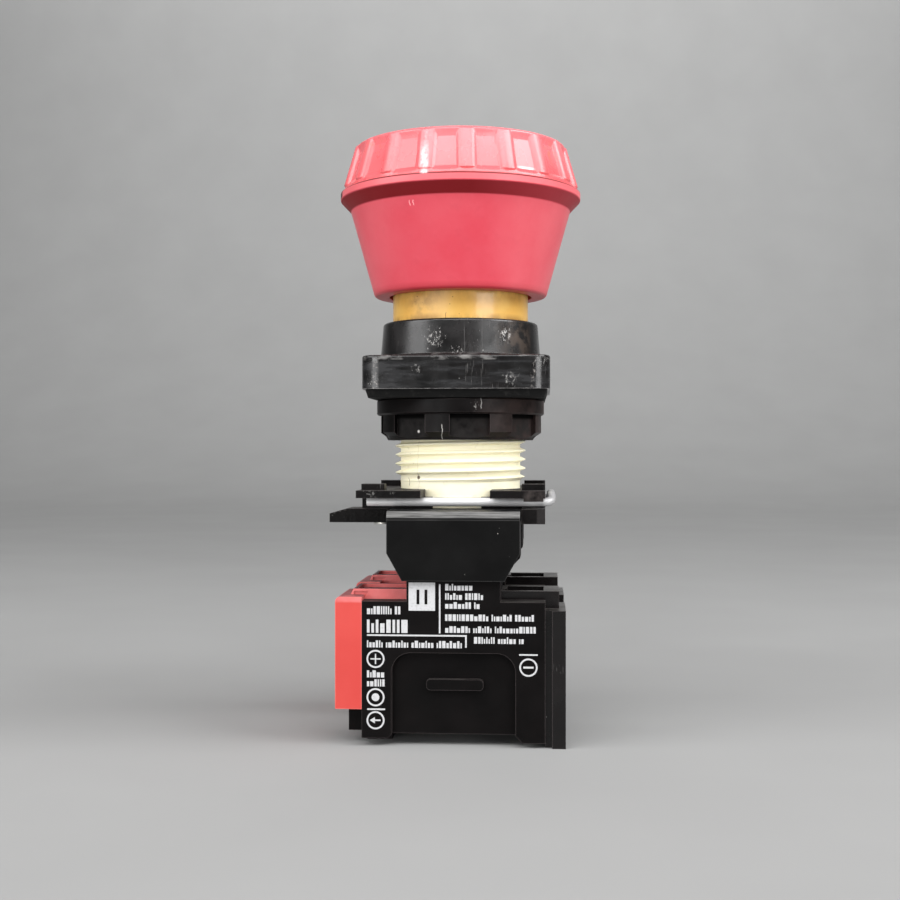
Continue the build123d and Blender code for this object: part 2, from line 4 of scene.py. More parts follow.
import bmesh
import bpy
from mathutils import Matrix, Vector


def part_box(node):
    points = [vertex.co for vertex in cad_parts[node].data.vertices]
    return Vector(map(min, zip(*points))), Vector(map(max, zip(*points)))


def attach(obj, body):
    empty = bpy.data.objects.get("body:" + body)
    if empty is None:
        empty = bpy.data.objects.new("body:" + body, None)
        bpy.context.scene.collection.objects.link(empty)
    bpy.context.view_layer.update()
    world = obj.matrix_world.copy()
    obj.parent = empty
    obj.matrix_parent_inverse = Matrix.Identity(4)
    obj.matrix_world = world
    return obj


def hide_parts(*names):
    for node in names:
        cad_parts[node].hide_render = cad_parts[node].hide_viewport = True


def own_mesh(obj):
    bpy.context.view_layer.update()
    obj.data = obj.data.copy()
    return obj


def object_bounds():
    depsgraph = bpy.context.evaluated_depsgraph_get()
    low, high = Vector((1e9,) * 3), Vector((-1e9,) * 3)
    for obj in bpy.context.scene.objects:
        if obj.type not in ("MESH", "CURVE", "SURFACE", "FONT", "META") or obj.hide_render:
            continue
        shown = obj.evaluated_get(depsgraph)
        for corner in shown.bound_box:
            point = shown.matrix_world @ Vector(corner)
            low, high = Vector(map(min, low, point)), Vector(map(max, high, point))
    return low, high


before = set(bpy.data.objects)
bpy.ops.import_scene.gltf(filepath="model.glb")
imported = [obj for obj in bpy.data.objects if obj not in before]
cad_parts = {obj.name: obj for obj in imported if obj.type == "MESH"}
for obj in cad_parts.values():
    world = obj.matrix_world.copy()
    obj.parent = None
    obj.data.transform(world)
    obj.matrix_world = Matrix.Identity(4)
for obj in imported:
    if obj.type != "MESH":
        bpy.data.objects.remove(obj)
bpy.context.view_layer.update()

# Lengths are in millimetres, except in the stage, lights and camera, which are in metres
MM = 0.001
TAU = 2 * math.pi


def box_mm(node):
    """A CAD node's lowest and highest corners in millimetres."""
    low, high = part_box(node)
    return Vector(low) / MM, Vector(high) / MM


# ---------------------------------------------------------------- materials

# How wide one chip of a worn patch is
FLECK_SIZE = 0.38


class Shader:
    """A node material whose textures are laid out in millimetres of the object's own frame."""

    def __init__(self, name, colour, rough, metallic=0.0):
        self.material = bpy.data.materials.new(name)
        self.material.use_nodes = True
        self.material.diffuse_color = (*colour, 1)
        self.nodes = self.material.node_tree.nodes
        self.links = self.material.node_tree.links
        self.bsdf = self.nodes["Principled BSDF"]
        self.bsdf.inputs["Metallic"].default_value = metallic
        self.base = self.rgb(colour)
        self.rough = self.value(rough)
        self.height = None
        place = self.nodes.new("ShaderNodeTexCoord").outputs["Object"]
        scale = self.nodes.new("ShaderNodeMapping")
        scale.inputs["Scale"].default_value = (1 / MM,) * 3
        self.links.new(place, scale.inputs["Vector"])
        self.place = scale.outputs["Vector"]

    def rgb(self, colour):
        """A colour's socket, for values that paint() mixes with."""
        node = self.nodes.new("ShaderNodeRGB")
        node.outputs[0].default_value = (*colour, 1)
        return node.outputs[0]

    def value(self, number):
        """A number's socket."""
        node = self.nodes.new("ShaderNodeValue")
        node.outputs[0].default_value = number
        return node.outputs[0]

    def stretched(self, stretch, turn=(0, 0, 0)):
        """The place in mm, turned and scaled per axis."""
        node = self.nodes.new("ShaderNodeMapping")
        node.inputs["Scale"].default_value = stretch
        node.inputs["Rotation"].default_value = turn
        self.links.new(self.place, node.inputs["Vector"])
        return node.outputs["Vector"]

    def noise(self, size, detail=4.0, stretch=(1, 1, 1), turn=(0, 0, 0), rough=0.55):
        """Cloudy noise from 0 to 1 whose blotches are about size mm across."""
        node = self.nodes.new("ShaderNodeTexNoise")
        node.inputs["Scale"].default_value = 1 / size
        node.inputs["Detail"].default_value = detail
        node.inputs["Roughness"].default_value = rough
        self.links.new(self.stretched(stretch, turn), node.inputs["Vector"])
        return node.outputs["Fac"]

    def cells(self, size):
        """The distance to the nearest of a scatter of points that lie about size mm apart."""
        node = self.nodes.new("ShaderNodeTexVoronoi")
        node.inputs["Scale"].default_value = 1 / size
        self.links.new(self.place, node.inputs["Vector"])
        return node.outputs["Distance"]

    def span(self, value, low, high, to_low=0.0, to_high=1.0):
        """value from low..high to to_low..to_high, held at both ends."""
        node = self.nodes.new("ShaderNodeMapRange")
        for key, number in zip(("From Min", "From Max", "To Min", "To Max"), (low, high, to_low, to_high)):
            node.inputs[key].default_value = number
        self.links.new(value, node.inputs["Value"])
        return node.outputs["Result"]

    def math(self, operation, first, second=None):
        node = self.nodes.new("ShaderNodeMath")
        node.operation = operation
        for index, value in enumerate((first, second)):
            if isinstance(value, (int, float)):
                node.inputs[index].default_value = value
            elif value is not None:
                self.links.new(value, node.inputs[index])
        return node.outputs[0]

    def times(self, *values):
        total = values[0]
        for value in values[1:]:
            total = self.math("MULTIPLY", total, value)
        return total

    def axis(self, name):
        """The object's X, Y or Z in millimetres."""
        node = self.nodes.new("ShaderNodeSeparateXYZ")
        self.links.new(self.place, node.inputs[0])
        return node.outputs[name]

    def facing_up(self):
        """1 where the surface faces straight up, 0 where it is upright."""
        split = self.nodes.new("ShaderNodeSeparateXYZ")
        self.links.new(self.nodes.new("ShaderNodeNewGeometry").outputs["Normal"], split.inputs[0])
        return split.outputs["Z"]

    def edges(self, radius):
        """1 on the outer edges of the mesh within about radius mm, 0 on its faces."""
        bevel = self.nodes.new("ShaderNodeBevel")
        bevel.samples = 6
        bevel.inputs["Radius"].default_value = radius * MM
        flat = self.nodes.new("ShaderNodeNewGeometry").outputs["Normal"]
        dot = self.nodes.new("ShaderNodeVectorMath")
        dot.operation = "DOT_PRODUCT"
        self.links.new(bevel.outputs["Normal"], dot.inputs[0])
        self.links.new(flat, dot.inputs[1])
        return self.span(self.math("SUBTRACT", 1.0, dot.outputs["Value"]), 0.02, 0.25)

    def paint(self, mask, colour, rough=None):
        """Blends a colour, and a roughness if given, in where mask is 1."""
        mix = self.nodes.new("ShaderNodeMix")
        mix.data_type = "RGBA"
        self.links.new(mask, mix.inputs["Factor"])
        self.links.new(self.base, mix.inputs["A"])
        mix.inputs["B"].default_value = (*colour, 1)
        self.base = mix.outputs["Result"]
        if rough is not None:
            blend = self.nodes.new("ShaderNodeMix")
            self.links.new(mask, blend.inputs["Factor"])
            self.links.new(self.rough, blend.inputs["A"])
            blend.inputs["B"].default_value = rough
            self.rough = blend.outputs["Result"]

    def roughen(self, amount):
        self.rough = self.math("ADD", self.rough, amount)

    def raise_by(self, value, depth):
        """Adds value, 0 to 1, to the bump, depth mm high."""
        layer = self.math("MULTIPLY", value, depth)
        self.height = layer if self.height is None else self.math("ADD", self.height, layer)

    def specks(self, size, share, spread=9.0):
        """Small round dots, about size mm across, gathered where a wide noise is high."""
        dots = self.span(self.cells(size * 4), 0.10, 0.16, 1.0, 0.0)
        where = self.span(self.noise(spread, 2.0), 1 - share, 1 - share + 0.06)
        return self.times(dots, where)

    def scratches(self, length, width, share, turn):
        """Fine lines about length mm long, run along the axis that turn gives."""
        lines = self.noise(1.0, 1.0, (1 / width, 1 / length, 1 / length), turn)
        where = self.span(self.noise(length * 1.6, 2.0), 1 - share, 1 - share + 0.05)
        return self.times(self.span(lines, 0.70, 0.73), where)

    def near(self, point, radius, soft=0.5):
        """1 around a point of the object, in mm, fading to 0 at radius."""
        node = self.nodes.new("ShaderNodeVectorMath")
        node.operation = "DISTANCE"
        self.links.new(self.place, node.inputs[0])
        node.inputs[1].default_value = point
        return self.span(node.outputs["Value"], radius * (1 - soft), radius, 1.0, 0.0)

    def worn_patch(self, point, radius, colour, strength):
        """A chipped, pale patch of ragged flecks, dense at a point and thinning out to radius mm."""
        thin = self.span(self.near(point, radius, 1.0), 0.0, 0.8, 0.24, 0.0)
        coarse = self.math("SUBTRACT", self.noise(FLECK_SIZE, 8.0, (1, 1, 0.6), rough=0.75), thin)
        fine = self.span(self.noise(FLECK_SIZE * 0.3, 3.0), 0.40, 0.60, 0.25, 1.0)
        self.paint(self.times(self.span(coarse, 0.525, 0.575), fine, self.value(strength)), colour, 0.6)

    def upright_line(self, x, low, high, width, depth, colour):
        """A wavering line up the front of the object, painted and cut in by depth mm."""
        sway = self.span(self.noise(1.4, 4.0, (0.1, 0.1, 1)), 0.2, 0.8, -0.35, 0.35)
        off = self.math("ABSOLUTE", self.math("SUBTRACT", self.math("ADD", self.axis("X"), sway), x))
        z = self.axis("Z")
        ends = self.times(self.span(z, low, low + 0.2), self.span(z, high, high - 0.2))
        mask = self.times(self.span(off, width * 0.6, width, 1.0, 0.0), ends, self.span(self.axis("Y"), 0, -1))
        self.paint(mask, colour, 0.6)
        self.raise_by(mask, -depth)

    def done(self, bump=1.0):
        """Connects what was painted and raised, and returns the material."""
        self.links.new(self.base, self.bsdf.inputs["Base Color"])
        self.links.new(self.rough, self.bsdf.inputs["Roughness"])
        if self.height is not None:
            node = self.nodes.new("ShaderNodeBump")
            node.inputs["Strength"].default_value = bump
            node.inputs["Distance"].default_value = MM
            self.links.new(self.height, node.inputs["Height"])
            self.links.new(node.outputs["Normal"], self.bsdf.inputs["Normal"])
        return self.material


def head_red(name, colour, faded, rough, gloss):
    """Aged red thermoplastic: faded in clouds, lightly grained, worn pale along its edges."""
    s = Shader(name, colour, rough)
    s.bsdf.inputs["Coat Weight"].default_value = 0.2
    s.bsdf.inputs["Coat Roughness"].default_value = 0.2
    s.bsdf.inputs["Subsurface Weight"].default_value = 0.06
    s.bsdf.inputs["Subsurface Radius"].default_value = (0.0012, 0.0004, 0.0003)
    s.bsdf.inputs["Specular IOR Level"].default_value = gloss
    s.paint(s.span(s.noise(9.0, 5.0), 0.35, 0.75), faded)
    s.paint(s.times(s.span(s.noise(2.2, 6.0), 0.55, 0.8), s.value(0.3)), tuple(c * 0.82 for c in colour))
    s.paint(s.times(s.edges(0.2), s.value(0.3)), tuple(min(1, c * 1.1 + 0.06) for c in faded))
    s.paint(s.times(s.specks(0.2, 0.30), s.value(0.7)), (0.20, 0.03, 0.02), 0.6)
    s.paint(s.times(s.scratches(3.0, 0.10, 0.34, (0, 0, 0)), s.value(0.5)), faded, 0.5)
    return s


def cap_red():
    """The cap's red, bleached towards the crown, with brown stains and pits by its right edge, painted shade in the
    seam at its left, a chalky worn patch on one rib that also serves as a painted highlight, and a painted highlight
    along one panel's foot.
    """
    s = head_red("cap_red", (0.74, 0.108, 0.120), (0.78, 0.152, 0.168), 0.25, 0.5)
    z = s.axis("Z")
    s.paint(s.times(s.span(z, 35.8, 41.0), s.value(0.35)), (0.84, 0.24, 0.27))
    s.paint(s.span(z, 34.82, 34.68), (0.16, 0.010, 0.012), 0.8)
    # Painted shade: black in the seam at the cap's left, where the gap between cap and skirt lies in shadow
    s.paint(s.times(s.near((-19.6, -4.6, 34.6), 3.0, 0.5), s.span(z, 35.1, 34.9)), (0.03, 0.004, 0.004), 0.8)
    stain = s.span(s.noise(0.9, 6.0), 0.50, 0.62)
    for point, radius in (((14.6, -9.4, 39.5), 2.6), ((-13.0, -12.0, 40.6), 2.4), ((17.0, -5.0, 36.5), 1.8)):
        s.paint(s.times(s.near(point, radius, 0.8), stain, s.value(0.6)), (0.42, 0.13, 0.06), 0.5)
    for point, radius in (((18.5, -3.6, 37.0), 0.35), ((18.1, -5.2, 39.9), 0.25), ((19.8, -2.0, 34.9), 0.35)):
        s.paint(s.near(point, radius, 0.4), (0.06, 0.02, 0.015), 0.7)
    # A chalky, pale worn patch along one rib's crown, which also stands in for the painted highlight on that rib
    chalk = s.span(s.noise(0.5, 6.0, (1, 1, 0.6)), 0.34, 0.62, 0.25, 1.0)
    off = s.math("ABSOLUTE", s.math("ADD", s.axis("X"), 4.5))
    rib = s.times(s.span(off, 0.35, 0.80, 1.0, 0.0), s.span(s.axis("Y"), -17.0, -17.5), s.span(z, 40.3, 38.0))
    s.paint(s.times(rib, chalk, s.value(0.7)), (0.94, 0.82, 0.83), 0.5)
    # Painted highlight: a pale gleam along the lower edge of one panel, at its foot
    foot = s.times(s.near((11.2, -15.0, 36.0), 1.9, 0.5), s.span(z, 35.75, 35.9), s.span(z, 36.35, 36.05))
    s.paint(s.times(foot, s.value(0.65)), (0.95, 0.84, 0.85), 0.4)
    s.roughen(s.span(s.noise(5.0, 4.0), 0.3, 0.8, -0.05, 0.12))
    s.raise_by(s.noise(0.35, 3.0), 0.006)
    return s.done(0.6)


def skirt_red():
    """The skirt's deeper red, with painted shade under its flare, in the seam at its left and on its lower lip, a
    painted sheen towards its sides, and two nicks high on its left.
    """
    s = head_red("skirt_red", (0.585, 0.050, 0.076), (0.63, 0.086, 0.114), 0.42, 0.22)
    z = s.axis("Z")
    shade = s.times(s.span(z, 31.5, 31.75), s.span(z, 33.5, 33.3))
    s.paint(s.times(shade, s.span(s.axis("X"), 3.0, 15.0, 0.96, 0.62)), (0.20, 0.001, 0.004), 0.8)
    s.paint(s.span(z, 33.5, 33.6), (0.72, 0.14, 0.16), 0.4)
    # Painted shade: black in the seam at the skirt's left, where the gap under the cap lies in shadow
    s.paint(s.times(s.near((-19.7, -3.6, 34.3), 3.4, 0.5), s.span(z, 33.4, 33.7)), (0.03, 0.004, 0.004), 0.8)
    s.paint(s.span(z, 34.42, 34.55), (0.10, 0.006, 0.008), 0.8)
    # Painted shade: the lower lip darkened on its rounded underside
    low, _ = box_mm("mushroom_skirt")
    s.paint(s.span(z, low.z + 1.3, low.z + 0.3, 0.0, 0.65), (0.36, 0.012, 0.020), 0.5)
    # Painted sheen: a paler haze towards the skirt's left and right sides
    side = s.math("ADD", s.span(s.axis("X"), 5.0, 15.0, 0.0, 0.45), s.span(s.axis("X"), -7.0, -15.0, 0.0, 0.30))
    s.paint(s.times(side, s.span(s.noise(8.0, 3.0), 0.3, 0.7, 0.5, 1.0), s.span(z, 31.6, 31.4)), (0.74, 0.20, 0.22))
    for x in (-6.9, -6.3):
        s.upright_line(x, 30.0, 31.0, 0.10, 0.05, (0.90, 0.34, 0.36))
    s.paint(s.times(s.scratches(5.0, 0.16, 0.36, (0, 0, 1.2)), s.value(0.35)), (0.84, 0.20, 0.22), 0.5)
    s.roughen(s.span(s.noise(7.0, 4.0), 0.3, 0.8, -0.08, 0.10))
    s.raise_by(s.noise(0.35, 3.0), 0.008)
    s.raise_by(s.noise(9.0, 2.0), 0.06)
    return s.done(0.6)


def sleeve_yellow():
    """Yellow sleeve with brown dirt at both ends, its top darkened further by painted shadow under the skirt, and one
    hairline crack.
    """
    s = Shader("yellow_sleeve", (0.69, 0.385, 0.083), 0.30)
    s.bsdf.inputs["Coat Weight"].default_value = 0.2
    s.paint(s.span(s.noise(7.0, 4.0), 0.4, 0.75), (0.76, 0.48, 0.13))
    z = s.axis("Z")
    # The top darkens with painted shadow under the skirt mixed with brown dirt; the lower end with brown dirt
    grime_and_shade = s.noise(2.6, 6.0, (1, 1, 0.5))
    top = s.times(s.span(z, 14.9, 17.2), s.span(grime_and_shade, 0.38, 0.62))
    low = s.times(s.span(z, 13.9, 12.9), s.span(grime_and_shade, 0.36, 0.58))
    s.paint(s.times(top, s.value(0.6)), (0.30, 0.15, 0.03), 0.5)
    s.paint(s.times(low, s.value(0.75)), (0.22, 0.10, 0.02), 0.6)
    s.paint(s.times(s.near((-6.0, -9.7, 15.6), 4.2, 0.8), s.span(s.noise(1.6, 6.0), 0.42, 0.6), s.value(0.55)),
            (0.34, 0.17, 0.035), 0.5)
    s.upright_line(-1.7, 12.0, 13.9, 0.07, 0.03, (0.26, 0.11, 0.03))
    s.paint(s.specks(0.2, 0.4), (0.20, 0.09, 0.02), 0.6)
    s.raise_by(s.noise(0.6, 3.0), 0.01)
    return s.done(0.6)


def black_plastic(name, tone, rough, gloss=0.5, scuffs=0.0, specks=0.0, dust=0.1, warm=1.0):
    """Black moulded plastic: cloudy gloss, pale worn edges that also serve as painted highlights, pale scuffs and white
    specks, dust on what faces up.
    """
    s = Shader(name, (tone * warm, tone, tone), rough)
    s.bsdf.inputs["Specular IOR Level"].default_value = gloss
    s.paint(s.span(s.noise(6.0, 5.0), 0.35, 0.8), (tone * 2.0 * warm, tone * 1.8, tone * 1.8))
    s.roughen(s.span(s.noise(3.5, 6.0), 0.35, 0.75, -0.06, 0.16))
    # Pale edges: wear, and painted highlights along the edges as well
    s.paint(s.times(s.edges(0.2), s.value(0.45)), (0.10 * warm, 0.097, 0.097), rough + 0.1)
    if scuffs:
        for turn in ((0, 0, 0), (0, 0, 0.9), (0.5, 0.4, 1.57)):
            s.paint(s.times(s.scratches(3.5, 0.10, scuffs, turn), s.value(0.4)), (0.30, 0.29, 0.28), 0.55)
    if specks:
        s.paint(s.specks(0.16, specks), (0.60, 0.59, 0.56), 0.6)
    if dust:
        grain = s.times(s.span(s.noise(4.0, 4.0), 0.25, 0.75), s.span(s.noise(0.5, 4.0), 0.25, 0.75, 0.4, 1.0))
        settled = s.times(s.span(s.facing_up(), 0.6, 0.95), grain)
        s.paint(s.times(settled, s.value(dust)), (0.16, 0.15, 0.14), 0.8)
    s.raise_by(s.noise(0.25, 3.0), 0.006)
    return s


def bezel_black():
    """Glossy black, chipped pale in patches on the collar and along the flange, with pale edges that are partly painted
    highlight and a painted reflection in streaks at the collar's foot.
    """
    s = black_plastic("bezel_black", 0.006, 0.17, 0.5, scuffs=0.36, specks=0.40, dust=0.12)
    haze = s.times(s.span(s.noise(5.0, 6.0, (1, 1, 0.7)), 0.42, 0.66), s.span(s.axis("Z"), 5.8, 6.6))
    s.paint(haze, (0.018, 0.0165, 0.0165), 0.3)
    drawn = s.times(s.span(s.noise(2.2, 6.0, (0.3, 0.3, 1.6)), 0.44, 0.64), s.span(s.axis("Z"), 5.9, 5.6))
    s.paint(drawn, (0.020, 0.020, 0.021), 0.3)
    brown = s.times(s.near((9.5, -9.0, 9.6), 5.0, 0.9), s.span(s.noise(1.5, 5.0), 0.40, 0.6))
    s.paint(brown, (0.060, 0.045, 0.036), 0.3)
    pale = (0.62, 0.60, 0.58)
    for point, radius, strength in (
        ((-3.6, -12.7, 9.6), 4.0, 0.75), ((8.0, -10.4, 10.4), 3.6, 0.85), ((0.4, -13.0, 7.0), 3.2, 0.6),
        ((-13.2, -15.0, 2.6), 3.0, 0.7), ((8.6, -15.1, 2.8), 3.4, 0.6), ((13.6, -14.6, 5.6), 2.8, 0.6),
        ((-6.0, -15.1, 4.5), 2.0, 0.4), ((14.8, 6.0, 4.0), 4.0, 0.6), ((-3.0, 15.0, 3.0), 4.0, 0.6),
    ):
        s.worn_patch(point, radius, pale, strength)
    s.paint(s.times(s.scratches(7.0, 0.22, 0.44, (0, 0, 0)), s.value(0.35)), (0.22, 0.21, 0.21), 0.4)
    # Pale ragged edges: chips, and a painted highlight along the edges, the flange's top edge most of all
    ragged = s.span(s.noise(0.8, 6.0), 0.36, 0.60, 0.15, 1.0)
    s.paint(s.times(s.edges(0.22), ragged, s.value(0.8)), (0.42, 0.40, 0.39), 0.5)
    # Painted reflection: pale streaks in a band round the collar's foot, just above the flange
    foot = s.times(s.span(s.axis("Z"), 7.3, 6.5), s.span(s.axis("Z"), 5.85, 6.0))
    foot_glint_streaks = s.span(s.noise(1.1, 6.0, (0.35, 0.35, 1)), 0.53, 0.66)
    s.paint(s.times(foot, foot_glint_streaks, s.value(0.45)), (0.30, 0.29, 0.28), 0.5)
    for x in (-12.6, 12.4):
        line = s.span(s.math("ABSOLUTE", s.math("SUBTRACT", s.axis("X"), x)), 0.15, 0.5, 1.0, 0.0)
        flecks = s.span(s.noise(0.40, 8.0, (1, 1, 0.7), rough=0.75), 0.55, 0.62)
        s.paint(s.times(line, flecks, s.span(s.axis("Z"), 5.8, 5.6), s.value(0.6)), (0.50, 0.46, 0.43), 0.6)
    s.raise_by(s.noise(5.0, 2.0), 0.05)
    return s.done(0.6)


def nut_black():
    """Satin black with a brown cast to the right, a pale crack, a few drips and painted shadow under the washer across
    the tops of the windows.
    """
    s = black_plastic("nut_black", 0.0026, 0.38, 0.09, scuffs=0.30, specks=0.26, dust=0.15, warm=1.2)
    s.paint(s.times(s.span(s.axis("X"), 2.5, 7.5), s.span(s.noise(4.0, 5.0), 0.3, 0.6)), (0.036, 0.025, 0.023))
    x, y, z = s.axis("X"), s.axis("Y"), s.axis("Z")
    r = s.math("SQRT", s.math("ADD", s.times(x, x), s.times(y, y)))
    recess = s.times(s.span(r, 12.9, 12.7), s.span(r, 11.6, 11.8))
    s.paint(s.times(recess, s.span(s.noise(1.6, 6.0), 0.35, 0.65)), (0.016, 0.0145, 0.014), 0.7)
    # Painted shadow: near-black band at the top of each window, under the washer's overhang
    s.paint(s.times(s.span(r, 13.2, 13.0), s.span(z, -3.5, -3.1)), (0.0006, 0.0005, 0.0005), 0.9)
    pale = (0.60, 0.58, 0.55)
    s.upright_line(-2.2, -6.8, -4.2, 0.08, 0.06, (0.36, 0.35, 0.33))
    s.upright_line(4.1, -1.9, 0.0, 0.06, 0.0, (0.30, 0.29, 0.28))
    for point, radius in (((-2.9, -12.0, -3.7), 0.45), ((-6.2, -11.0, -5.4), 0.35), ((4.6, -12.2, -5.1), 0.4)):
        s.paint(s.near(point, radius, 0.5), pale, 0.6)
    s.worn_patch((3.4, -14.0, -1.2), 2.2, pale, 0.5)
    s.worn_patch((-7.0, -11.8, -6.0), 1.8, pale, 0.4)
    s.raise_by(s.noise(4.0, 2.0), 0.05)
    return s.done(0.6)


def adapter_black():
    """Black nylon, chewed and dusty at its left tab, paler at its right corner."""
    s = black_plastic("adapter_black", 0.0026, 0.42, 0.10, scuffs=0.40, specks=0.36, dust=0.9, warm=1.15)
    corner = s.times(s.span(s.axis("X"), 12.9, 13.1), s.span(s.axis("Z"), -17.2, -17.5))
    s.paint(corner, (0.020, 0.018, 0.018), 0.4)
    lip = s.times(s.near((12.6, -17.0, -15.7), 2.0, 0.5), s.span(s.noise(1.2, 5.0), 0.35, 0.6))
    s.paint(lip, (0.040, 0.033, 0.031), 0.5)
    for point, radius, strength in (
        ((-13.2, -17.0, -14.9), 2.8, 0.45), ((-9.6, -16.8, -14.8), 1.8, 0.7), ((-18.4, -13.0, -17.6), 3.0, 0.4),
        ((-12.4, -13.0, -14.4), 2.4, 0.6), ((13.2, -13.0, -14.2), 2.0, 0.5),
    ):
        s.worn_patch(point, radius, (0.42, 0.41, 0.39), strength)
    s.raise_by(s.span(s.noise(0.9, 5.0), 0.45, 0.7), 0.05)
    return s.done(0.7)


def tab_black():
    """Glossy black with a painted highlight, laid on as a bright nick, on the front edge of its tab, and two more
    bright worn patches.
    """
    s = black_plastic("tab_black", 0.0030, 0.20, 0.30, scuffs=0.36, specks=0.34, dust=0.6, warm=1.15)
    # The first patch is a painted highlight on the tab's front edge; the other two are worn patches
    for point, radius in (((7.3, -16.8, -30.75), 1.0), ((12.6, -17.6, -31.4), 0.6), ((10.8, -16.8, -33.0), 0.6)):
        s.worn_patch(point, radius, (0.70, 0.69, 0.68), 0.9)
    return s.done(0.6)


def cover_red():
    """Matt red covers, pale at their edges and on the steps' fronts, with dark dirt and painted shade on the steps'
    tops.
    """
    s = Shader("red_cover", (0.51, 0.040, 0.032), 0.42)
    s.bsdf.inputs["Subsurface Weight"].default_value = 0.06
    s.bsdf.inputs["Subsurface Radius"].default_value = (0.001, 0.0003, 0.0002)
    s.paint(s.span(s.noise(8.0, 4.0), 0.4, 0.8), (0.55, 0.053, 0.042))
    s.paint(s.times(s.edges(0.3), s.value(0.45)), (0.92, 0.30, 0.26))
    settled = s.times(s.span(s.facing_up(), 0.6, 0.95), s.span(s.noise(1.4, 6.0), 0.05, 0.42))
    steps = s.times(s.span(s.axis("Z"), -32.4, -32.1), s.span(s.noise(3.0, 4.0), 0.3, 0.7, 0.35, 0.75))
    s.paint(steps, (0.70, 0.205, 0.205), 0.45)
    # Step tops darkened: settled dirt, with painted shade in the recesses on them
    s.paint(s.times(settled, s.span(s.axis("Z"), -31.6, -31.3), s.value(0.95)), (0.055, 0.036, 0.042), 0.7)
    s.raise_by(s.noise(0.3, 3.0), 0.008)
    return s.done(0.6)


def barrel_cream():
    """Cream moulding, yellowed in the thread's roots and dusty black in places."""
    s = Shader("cream_barrel", (0.88, 0.83, 0.62), 0.42)
    s.bsdf.inputs["Subsurface Weight"].default_value = 0.10
    s.bsdf.inputs["Subsurface Radius"].default_value = (0.001, 0.0008, 0.0005)
    s.paint(s.span(s.noise(6.0, 4.0), 0.4, 0.8), (0.92, 0.88, 0.70))
    s.paint(s.times(s.span(s.noise(1.8, 7.0), 0.62, 0.72), s.value(0.35)), (0.40, 0.33, 0.20), 0.6)
    s.paint(s.specks(0.14, 0.36), (0.10, 0.08, 0.05), 0.6)
    s.upright_line(-6.4, -16.0, -5.0, 0.05, 0.02, (0.72, 0.67, 0.50))
    s.upright_line(-8.1, -14.4, -12.9, 0.05, 0.02, (0.20, 0.16, 0.10))
    for point in ((-6.4, -7.8, -12.1), (-6.4, -7.8, -12.9)):
        s.paint(s.near(point, 0.4, 0.4), (0.12, 0.09, 0.06), 0.6)
    s.raise_by(s.noise(0.5, 3.0), 0.012)
    return s.done(0.5)


def metal(name, colour, rough, grain=(1, 1, 1), tarnish=(0.25, 0.24, 0.22), share=0.4, shine=1.0, dull=None):
    """Bare or plated metal with drawn grain and dull patches, greyer beyond dull mm to the right if given."""
    s = Shader(name, colour, rough, shine)
    s.paint(s.span(s.noise(2.4, 6.0), 1 - share, 1 - share + 0.2), tarnish, rough + 0.2)
    if dull:
        s.paint(s.span(s.axis("X"), dull, dull + 3.0), tuple(0.5 * c for c in colour), rough)
    s.roughen(s.span(s.noise(0.8, 4.0, grain), 0.3, 0.7, -0.05, 0.12))
    s.raise_by(s.noise(0.3, 3.0, grain), 0.008)
    return s.done(0.6)


def saddle_black():
    """Black coated sheet: faint pebble, the coat polished pale along the upper bends, with painted highlights on the
    bends and a thin one below them.
    """
    s = Shader("coated_sheet", (0.0028, 0.0028, 0.0028), 0.43)
    s.bsdf.inputs["Specular IOR Level"].default_value = 0.075
    s.paint(s.span(s.noise(7.0, 5.0), 0.4, 0.8), (0.006, 0.006, 0.006))
    # Pale edges: wear, and painted highlights along the edges as well
    s.paint(s.times(s.edges(0.3), s.value(0.4)), (0.09, 0.09, 0.088), 0.35)
    _, high = box_mm("contact_bracket")
    z = s.axis("Z")
    outside = s.span(s.math("ABSOLUTE", s.axis("Y")), high.y - 1.7, high.y - 1.3)
    streaks = s.span(s.noise(0.30, 5.0, (0.06, 1, 1)), 0.30, 0.66, 0.25, 1.0)
    # Painted highlight on the outer faces of the upper bends, where the coat is also polished pale
    bend_highlight_and_wear = s.times(s.span(z, high.z - 1.12, high.z - 1.0), s.span(z, high.z - 0.02, high.z - 0.1))
    s.paint(s.times(bend_highlight_and_wear, outside, streaks), (0.19, 0.188, 0.184), 0.34)
    # Painted highlight: a thin lighter line just below the bends
    line = s.times(s.span(z, high.z - 1.52, high.z - 1.44), s.span(z, high.z - 1.26, high.z - 1.32))
    s.paint(s.times(line, outside, streaks, s.value(0.6)), (0.055, 0.054, 0.053), 0.4)
    s.paint(s.specks(0.16, 0.34, 5.0), (0.50, 0.49, 0.46), 0.5)
    s.roughen(s.span(s.noise(1.2, 5.0), 0.3, 0.8, -0.04, 0.1))
    s.raise_by(s.noise(0.22, 2.0), 0.010)
    return s.done(0.7)


def rubber():
    """Dull black rubber with grey bloom in patches."""
    s = Shader("gasket_rubber", (0.004, 0.004, 0.004), 0.7)
    s.bsdf.inputs["Specular IOR Level"].default_value = 0.15
    s.paint(s.span(s.noise(1.2, 6.0), 0.55, 0.75), (0.022, 0.021, 0.020), 0.8)
    s.raise_by(s.noise(0.5, 5.0), 0.05)
    return s.done(0.8)


def white_nylon():
    """Off-white nylon of the inner parts."""
    s = Shader("white_nylon", (0.74, 0.72, 0.66), 0.45)
    s.paint(s.span(s.noise(4.0, 4.0), 0.4, 0.8), (0.80, 0.78, 0.73))
    s.raise_by(s.noise(0.3, 3.0), 0.01)
    return s.done(0.5)


def print_ink():
    """White pad-printed ink, thin in places."""
    s = Shader("white_ink", (0.50, 0.50, 0.51), 0.6)
    s.paint(s.times(s.span(s.noise(0.35, 5.0), 0.52, 0.70), s.value(0.45)), (0.24, 0.24, 0.24), 0.6)
    return s.done()


